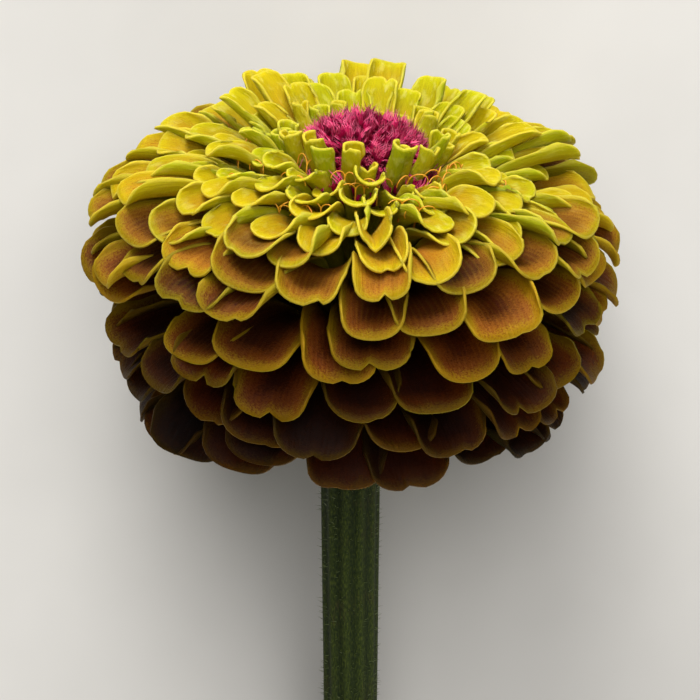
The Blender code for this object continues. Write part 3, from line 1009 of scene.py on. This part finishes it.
def make_stem():
    clear_selection()
    bpy.ops.mesh.primitive_cylinder_add(vertices=STEM_SIDES, radius=1, depth=1, end_fill_type="NGON")
    stem = bpy.context.active_object
    stem.name = "stem_stalk"
    stem.data.materials.append(stem_paint())
    stem.data.materials.append(cut_paint())
    for polygon in stem.data.polygons:
        polygon.material_index = 1 if abs(polygon.normal.z) > 0.5 else 0
    bpy.ops.object.mode_set(mode="EDIT")
    bpy.ops.mesh.select_mode(type="EDGE")
    bpy.ops.mesh.select_all(action="DESELECT")
    bpy.ops.object.mode_set(mode="OBJECT")
    for edge in stem.data.edges:
        low, high = (stem.data.vertices[i].co for i in edge.vertices)
        edge.select = abs(low.z - high.z) > 0.5
    bpy.ops.object.mode_set(mode="EDIT")
    bpy.ops.mesh.subdivide(number_cuts=STEM_BANDS)
    bpy.ops.object.mode_set(mode="OBJECT")
    points = mesh_points(stem)
    turn = np.arctan2(points[:, 1], points[:, 0])
    height = blend(-STEM_REACH, NECK_HEIGHT, points[:, 2] + 0.5)
    sway = SWAY_TURN * np.sin(height * SWAY_RATE)
    rib = np.cos((turn + sway) * STEM_RIBS)
    radius = stem_radius(height) + STEM_RIB_DEPTH * (rib - 1)
    place = np.stack((np.cos(turn) * radius, np.sin(turn) * radius, height), 1)
    lay_out_stem_map(stem, turn + sway, height)
    set_points(stem, to_world(place))
    stem.data.shade_smooth()
    stem.data.set_sharp_from_angle(angle=radians(50))
    finish_piece(stem, "stem", "stem")


def lay_out_stem_map(stem, turn, height):
    """Across runs round the stem once, and along runs down it."""
    layer = stem.data.uv_layers[0]
    layer.name = "stem"
    corners = read_all(stem.data.loops, "vertex_index")
    round_share = turn[corners] / (2 * pi)
    totals = read_all(stem.data.polygons, "loop_total")
    start = np.concatenate(([0], np.cumsum(totals)[:-1]))
    first = np.repeat(round_share[start], totals)
    round_share = np.where(round_share - first > 0.5, round_share - 1, round_share)
    round_share = np.where(first - round_share > 0.5, round_share + 1, round_share)
    place = np.stack((round_share, height[corners] / STEM_MAP_LENGTH), 1)
    layer.uv.foreach_set("vector", place.astype(np.float32).ravel())


def hair_paint():
    paint = Paint("stem_hair")
    patch = paint.noise(paint.object_place(), 500.0)
    colour = paint.mix((0.05, 0.08, 0.02), (0.16, 0.21, 0.06), patch)
    paint.set(base_color=colour, roughness=0.45 + patch * 0.1)
    return paint.material


def make_hairs():
    """Short stiff hairs all along the stem, each a slim three-sided spike."""
    dice = random.Random(17)
    clear_selection()
    bpy.ops.mesh.primitive_cone_add(vertices=3, radius1=1, radius2=0, depth=1, end_fill_type="NOTHING")
    spike = bpy.context.active_object
    base = mesh_points(spike)
    base[:, 2] += 0.5
    hairs = []
    for _ in range(HAIR_COUNT):
        height = blend(-STEM_REACH + 0.5 * MM, NECK_HEIGHT - 1 * MM, dice.random())
        turn = dice.uniform(0, 2 * pi)
        outward = Vector((cos(turn), sin(turn), 0))
        root = outward * (float(stem_radius(height)) - STEM_RIB_DEPTH * 1.5) + Vector((0, 0, height))
        tip_over = Vector((dice.gauss(0, 0.2), dice.gauss(0, 0.2), dice.uniform(0.1, 0.7)))
        lean = (outward + tip_over).normalized()
        side = lean.cross(Vector((0, 0, 1))).normalized()
        front = lean.cross(side)
        length = dice.uniform(0.55, 1.15) * MM
        item = copy_piece(spike)
        made = (np.array(root) + np.outer(base[:, 0] * HAIR_RADIUS, side)
                + np.outer(base[:, 1] * HAIR_RADIUS, front) + np.outer(base[:, 2] * length, lean))
        set_points(item, to_world(rest_on_floor(made, 0.05 * MM)))
        hairs.append(item)
    bpy.data.objects.remove(spike, do_unlink=True)
    piece = join_pieces(hairs, "stem_hairs")
    give_look(piece, hair_paint())
    finish_piece(piece, "stem")


# ---------------------------------------------------------------- bracts and receptacle

# Count, seat, reach and rise of each row
BRACT_ROWS = (
    (13, -16.7 * MM, 6.6 * MM, radians(24)),
    (13, -18.6 * MM, 6.4 * MM, radians(22)),
)


def bract_paint(name):
    """Green scales with a dark, thin edge."""
    paint = Paint(name)
    across, along = paint.map_place("petal")
    rim = paint.attribute("rim")
    tone = paint.attribute("tone")
    streak = paint.noise(paint.vector(across * 40 + tone * 9, along * 5), 1.0, 3.0)
    edge = (rim + (streak - 0.5) * 0.5).ease(0.25, 0.75)
    green = paint.mix((0.030, 0.060, 0.008), (0.12, 0.17, 0.025), streak * 0.7 + tone * 0.3)
    paint.set(base_color=paint.mix((0.02, 0.012, 0.008), green, edge), roughness=0.45 + streak * 0.15)
    paint.bump(streak, 0.4, 0.0002)
    return paint.material


def make_bracts(sheet):
    dice = random.Random(6)
    look = bract_paint("bract_green")
    for number, (count, seat, reach, rise) in enumerate(BRACT_ROWS):
        bracts = []
        for index in range(count):
            azimuth = 2 * pi * (index + 0.5 * number) / count + dice.gauss(0, radians(2))
            start = core_radius(max(seat, CORE_LOW)) - 0.8 * MM * number
            tip = (start + reach * cos(rise), seat + reach * sin(rise))
            bract = Petal(dice, 0.3, azimuth, tip, seat)
            bract.seat = (start - 0.4 * MM, seat)
            bract.leave, bract.arrive = radians(8), radians(38)
            bract.half_width = 2.6 * MM
            bract.cup = [0.5, 0.5]
            bract.roll = [0.0, 0.0]
            bract.foot_width = 0.8
            bract.lip = 0.05
            bract.notch = 0.0
            bract.cap = 1.3
            bract.ruffle = 0.1 * MM
            bracts.append(bract)
        piece = petal_piece(sheet, bracts, f"bract_row_{number + 1}", (look, look))
        finish_piece(piece, "bracts", f"bract_whorl_{number + 1}")


# How far behind the head's middle the receptacle begins to darken with painted shade, and where it is fully
# dark
DARK_FROM = 16 * MM
DARK_TO = 11 * MM


def core_paint():
    """Green where it shows round the stem, and painted dark among the feet of the petals, as the shade that
    falls there.
    """
    paint = Paint("receptacle_green")
    place = paint.object_place()
    cells = paint.noise(place, 1500.0, 3.0)
    forward = paint.parts_of(place)[1]
    deep = forward.ease(FLOWER_CENTRE.y - DARK_FROM, FLOWER_CENTRE.y - DARK_TO)
    green = paint.mix((0.05, 0.08, 0.012), (0.15, 0.18, 0.03), cells)
    # Painted shade: dark inside the head, among the feet of the petals.
    dark = paint.mix((0.008, 0.004, 0.001), (0.030, 0.018, 0.003), cells)
    paint.set(base_color=paint.mix(green, dark, deep), roughness=0.6 + cells * 0.1)
    paint.bump(cells, 0.4, 0.0002)
    return paint.material


def paint_receptacle():
    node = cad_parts["receptacle"]
    look = core_paint()
    for slot in node.material_slots:
        slot.material = look


# ---------------------------------------------------------------- floor, lights and camera

FLOOR_SIZE = 4.0
CAMERA_DISTANCE = 0.467
CAMERA_LIFT = radians(21)
VIEW_WIDTH = 92.8 * MM
AIM_BELOW = 13.3 * MM
SENSOR = 36.0

# Name, place, size, power and colour of each light
LIGHTS = (
    ("key", (-0.10, 0.68, 0.34), 0.44, 6.0, (1.0, 0.97, 0.92)),
    ("top_light", (0.04, 0.30, 0.70), 0.56, 3.6, (1.0, 0.97, 0.93)),
    ("back_light", (0.18, -0.60, 0.20), 0.50, 2.4, (1.0, 0.95, 0.88)),
)
AMBIENT_COLOUR = (1.0, 0.97, 0.92, 1.0)
AMBIENT_STRENGTH = 0.11


def make_floor():
    clear_selection()
    bpy.ops.mesh.primitive_plane_add(size=FLOOR_SIZE)
    floor = bpy.context.active_object
    floor.name = "floor"
    paint = Paint("pale_floor")
    grain = paint.noise(paint.object_place(), 60.0)
    paint.set(base_color=paint.mix((0.60, 0.60, 0.59), (0.66, 0.66, 0.65), grain), roughness=0.75)
    floor.data.materials.append(paint.material)


def make_camera():
    """Looks down on the lying flower from a little towards its face."""
    lean = CAMERA_LIFT - TILT
    away = Vector((0, sin(lean), cos(lean)))
    upright = Vector((0, cos(lean), -sin(lean)))
    target = FLOWER_CENTRE - upright * AIM_BELOW
    data = bpy.data.cameras.new("camera")
    data.sensor_width = SENSOR
    data.lens = SENSOR * CAMERA_DISTANCE / VIEW_WIDTH
    data.clip_start = 0.01
    camera = bpy.data.objects.new("camera", data)
    bpy.context.collection.objects.link(camera)
    right = upright.cross(away)
    turn = Matrix((right, upright, away)).transposed()
    camera.matrix_world = Matrix.Translation(target + away * CAMERA_DISTANCE) @ turn.to_4x4()
    bpy.context.scene.camera = camera


def make_light(name, place, size, power, colour):
    """A round, soft light that is aimed at the head."""
    data = bpy.data.lights.new(name, "AREA")
    data.shape = "DISK"
    data.size = size
    data.energy = power
    data.color = colour
    item = bpy.data.objects.new(name, data)
    bpy.context.collection.objects.link(item)
    item.location = place
    item.rotation_euler = (Vector(place) - FLOWER_CENTRE).to_track_quat("Z", "Y").to_euler()


def make_lights():
    for light in LIGHTS:
        make_light(*light)
    world = bpy.data.worlds.new("studio")
    world.use_nodes = True
    backdrop = world.node_tree.nodes["Background"]
    backdrop.inputs["Color"].default_value = AMBIENT_COLOUR
    backdrop.inputs["Strength"].default_value = AMBIENT_STRENGTH
    bpy.context.scene.world = world


# ---------------------------------------------------------------- the whole bloom

def main():
    bpy.context.scene.view_settings.view_transform = "Standard"
    make_camera()
    make_lights()
    make_floor()
    looks = (petal_paint("petal_face", False), petal_paint("petal_back", True))
    sheet = make_rays(looks)
    make_tubes(sheet, looks)
    make_disc()
    make_styles()
    make_stem()
    make_hairs()
    make_bracts(sheet)
    paint_receptacle()
    bpy.data.objects.remove(sheet, do_unlink=True)
    bpy.context.view_layer.update()


main()
